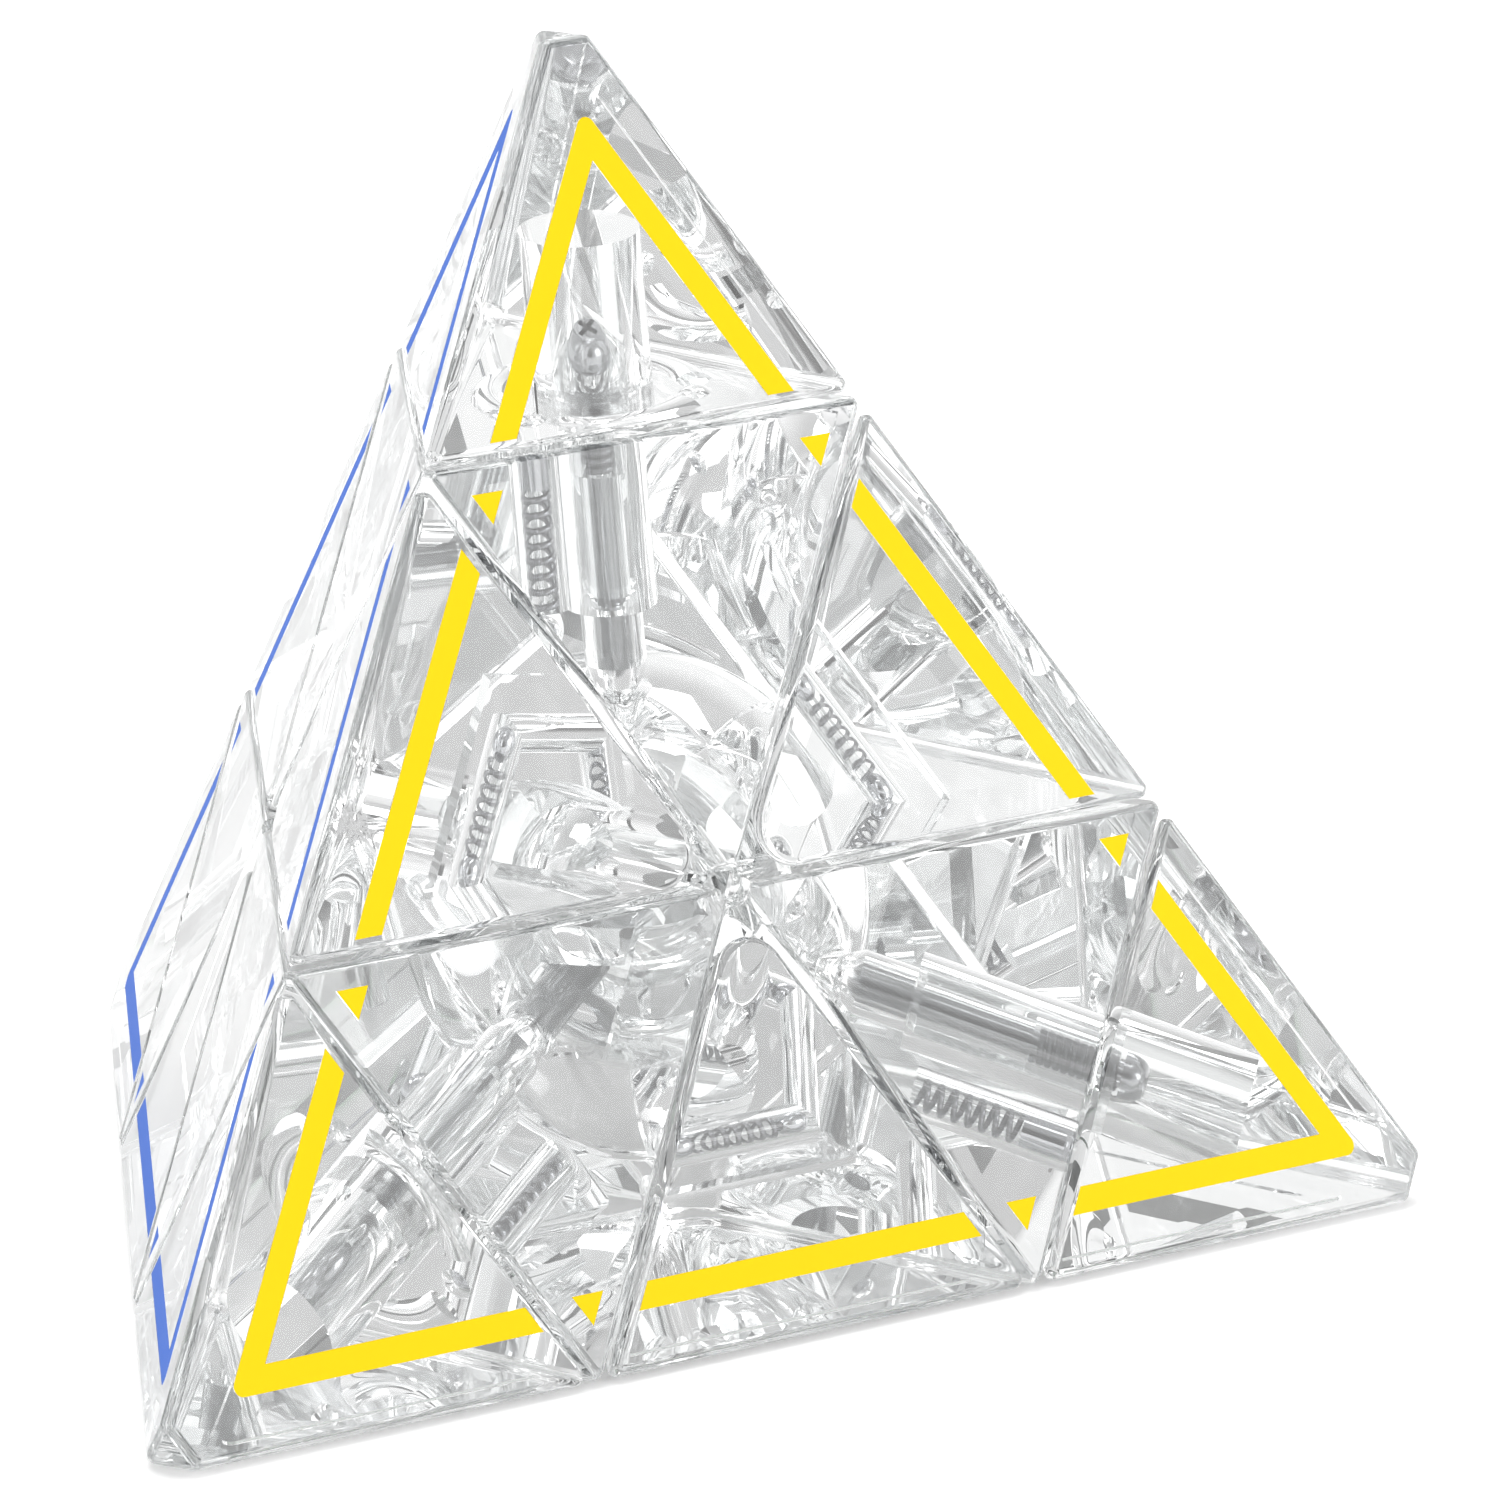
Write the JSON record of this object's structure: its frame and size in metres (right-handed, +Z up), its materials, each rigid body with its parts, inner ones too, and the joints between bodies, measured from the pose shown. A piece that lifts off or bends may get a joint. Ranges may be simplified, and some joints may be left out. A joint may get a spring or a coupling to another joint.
{
  "type": "pyramid twisty puzzle",
  "caption": "Clear tetrahedral twisty puzzle with turning tips and a turning layer, screws, springs and clicking balls inside, and a coloured triangle outline on each face.",
  "frame": {"origin": "middle of the core, where the four turning axes cross", "axes": "+Z up along the top tip's axis, -Y towards the yellow side, the puzzle standing on its green face"},
  "size_m": [0.0988, 0.0865, 0.0809],
  "materials": {
    "clear_plastic": "polished, clear and colourless",
    "screw_steel": "bright plated",
    "spring_steel": "bright plated wire",
    "ball_steel": "polished",
    "sticker_yellow": "satin vinyl",
    "sticker_blue": "satin vinyl",
    "sticker_red": "satin vinyl",
    "sticker_green": "satin vinyl"
  },
  "bodies": {
    "base": {"core": "clear_plastic", "axis_screws": "screw_steel", "axis_springs": "spring_steel", "click_springs_lower": "spring_steel", "edge_springs_lower": "spring_steel", "axial_left": "clear_plastic", "axial_right": "clear_plastic", "axial_back": "clear_plastic", "edge_yellow_green": "clear_plastic", "edge_red_green": "clear_plastic", "edge_blue_green": "clear_plastic", "stickers_blue_lower": "sticker_blue", "stickers_green_lower": "sticker_green", "stickers_red_lower": "sticker_red", "stickers_yellow_lower": "sticker_yellow"},
    "top_layer": {"click_spring_top": "spring_steel", "edge_springs_upper": "spring_steel", "axial_top": "clear_plastic", "edge_yellow_blue": "clear_plastic", "edge_yellow_red": "clear_plastic", "edge_blue_red": "clear_plastic", "stickers_blue_upper": "sticker_blue", "stickers_red_upper": "sticker_red", "stickers_yellow_upper": "sticker_yellow"},
    "tip_top": {"tip_top": "clear_plastic", "pivot_tube_top": "clear_plastic", "stickers_blue_tip_top": "sticker_blue", "stickers_red_tip_top": "sticker_red", "stickers_yellow_tip_top": "sticker_yellow"},
    "tip_left": {"tip_left": "clear_plastic", "pivot_tube_left": "clear_plastic", "stickers_blue_tip_left": "sticker_blue", "stickers_green_tip_left": "sticker_green", "stickers_yellow_tip_left": "sticker_yellow"},
    "tip_right": {"tip_right": "clear_plastic", "pivot_tube_right": "clear_plastic", "stickers_green_tip_right": "sticker_green", "stickers_red_tip_right": "sticker_red", "stickers_yellow_tip_right": "sticker_yellow"},
    "tip_back": {"tip_back": "clear_plastic", "pivot_tube_back": "clear_plastic", "stickers_blue_tip_back": "sticker_blue", "stickers_green_tip_back": "sticker_green", "stickers_red_tip_back": "sticker_red"},
    "click_pin_top": {"click_pin_top": "ball_steel"},
    "click_pin_left": {"click_pin_left": "ball_steel"},
    "click_pin_right": {"click_pin_right": "ball_steel"},
    "click_pin_back": {"click_pin_back": "ball_steel"},
    "ball_yellow_blue_top": {"ball_yellow_blue_top": "ball_steel"},
    "ball_yellow_blue_left": {"ball_yellow_blue_left": "ball_steel"},
    "ball_yellow_red_top": {"ball_yellow_red_top": "ball_steel"},
    "ball_yellow_red_right": {"ball_yellow_red_right": "ball_steel"},
    "ball_blue_red_top": {"ball_blue_red_top": "ball_steel"},
    "ball_blue_red_back": {"ball_blue_red_back": "ball_steel"},
    "ball_yellow_green_left": {"ball_yellow_green_left": "ball_steel"},
    "ball_yellow_green_right": {"ball_yellow_green_right": "ball_steel"},
    "ball_red_green_right": {"ball_red_green_right": "ball_steel"},
    "ball_red_green_back": {"ball_red_green_back": "ball_steel"},
    "ball_blue_green_back": {"ball_blue_green_back": "ball_steel"},
    "ball_blue_green_left": {"ball_blue_green_left": "ball_steel"}
  },
  "joints": [
    {"name": "top_layer_turn", "type": "hinge", "parent": "base", "child": "top_layer", "pos_m": [0, 0, 0], "axis": [0, 0, 1], "continuous": true},
    {"name": "tip_top_turn", "type": "hinge", "parent": "top_layer", "child": "tip_top", "pos_m": [0, 0, 0], "axis": [0, 0, 1], "continuous": true},
    {"name": "tip_left_turn", "type": "hinge", "parent": "base", "child": "tip_left", "pos_m": [0, 0, 0], "axis": [-0.8165, -0.4714, -0.3333], "continuous": true},
    {"name": "tip_right_turn", "type": "hinge", "parent": "base", "child": "tip_right", "pos_m": [0, 0, 0], "axis": [0.8165, -0.4714, -0.3333], "continuous": true},
    {"name": "tip_back_turn", "type": "hinge", "parent": "base", "child": "tip_back", "pos_m": [0, 0, 0], "axis": [0, 0.9428, -0.3333], "continuous": true},
    {"name": "click_pin_top_press", "type": "slide", "parent": "top_layer", "child": "click_pin_top", "axis": [0, 0, 1], "range_m": [-0.0006, 0], "stiffness_N_per_m": 150, "springref_m": 0.001, "deforming": ["click_spring_top"]},
    {"name": "click_pin_left_press", "type": "slide", "parent": "base", "child": "click_pin_left", "axis": [-0.8165, -0.4714, -0.3333], "range_m": [-0.0006, 0], "stiffness_N_per_m": 150, "springref_m": 0.001, "deforming": ["click_springs_lower"]},
    {"name": "click_pin_right_press", "type": "slide", "parent": "base", "child": "click_pin_right", "axis": [0.8165, -0.4714, -0.3333], "range_m": [-0.0006, 0], "stiffness_N_per_m": 150, "springref_m": 0.001},
    {"name": "click_pin_back_press", "type": "slide", "parent": "base", "child": "click_pin_back", "axis": [0, 0.9428, -0.3333], "range_m": [-0.0006, 0], "stiffness_N_per_m": 150, "springref_m": 0.001},
    {"name": "ball_yellow_blue_top_press", "type": "slide", "parent": "top_layer", "child": "ball_yellow_blue_top", "axis": [0.5, 0.2887, 0.8165], "range_m": [-0.0008, 0], "stiffness_N_per_m": 300, "springref_m": 0.001, "deforming": ["edge_springs_upper"]},
    {"name": "ball_yellow_blue_left_press", "type": "slide", "parent": "top_layer", "child": "ball_yellow_blue_left", "axis": [-0.5, -0.2887, -0.8165], "range_m": [-0.0008, 0], "stiffness_N_per_m": 300, "springref_m": 0.001},
    {"name": "ball_yellow_red_top_press", "type": "slide", "parent": "top_layer", "child": "ball_yellow_red_top", "axis": [-0.5, 0.2887, 0.8165], "range_m": [-0.0008, 0], "stiffness_N_per_m": 300, "springref_m": 0.001},
    {"name": "ball_yellow_red_right_press", "type": "slide", "parent": "top_layer", "child": "ball_yellow_red_right", "axis": [0.5, -0.2887, -0.8165], "range_m": [-0.0008, 0], "stiffness_N_per_m": 300, "springref_m": 0.001},
    {"name": "ball_blue_red_top_press", "type": "slide", "parent": "top_layer", "child": "ball_blue_red_top", "axis": [0, -0.5774, 0.8165], "range_m": [-0.0008, 0], "stiffness_N_per_m": 300, "springref_m": 0.001},
    {"name": "ball_blue_red_back_press", "type": "slide", "parent": "top_layer", "child": "ball_blue_red_back", "axis": [0, 0.5774, -0.8165], "range_m": [-0.0008, 0], "stiffness_N_per_m": 300, "springref_m": 0.001},
    {"name": "ball_yellow_green_left_press", "type": "slide", "parent": "base", "child": "ball_yellow_green_left", "axis": [-1, 0, 0], "range_m": [-0.0008, 0], "stiffness_N_per_m": 300, "springref_m": 0.001, "deforming": ["edge_springs_lower"]},
    {"name": "ball_yellow_green_right_press", "type": "slide", "parent": "base", "child": "ball_yellow_green_right", "axis": [1, 0, 0], "range_m": [-0.0008, 0], "stiffness_N_per_m": 300, "springref_m": 0.001},
    {"name": "ball_red_green_right_press", "type": "slide", "parent": "base", "child": "ball_red_green_right", "axis": [0.5, -0.866, 0], "range_m": [-0.0008, 0], "stiffness_N_per_m": 300, "springref_m": 0.001},
    {"name": "ball_red_green_back_press", "type": "slide", "parent": "base", "child": "ball_red_green_back", "axis": [-0.5, 0.866, 0], "range_m": [-0.0008, 0], "stiffness_N_per_m": 300, "springref_m": 0.001},
    {"name": "ball_blue_green_back_press", "type": "slide", "parent": "base", "child": "ball_blue_green_back", "axis": [0.5, 0.866, 0], "range_m": [-0.0008, 0], "stiffness_N_per_m": 300, "springref_m": 0.001},
    {"name": "ball_blue_green_left_press", "type": "slide", "parent": "base", "child": "ball_blue_green_left", "axis": [-0.5, -0.866, 0], "range_m": [-0.0008, 0], "stiffness_N_per_m": 300, "springref_m": 0.001}
  ]
}
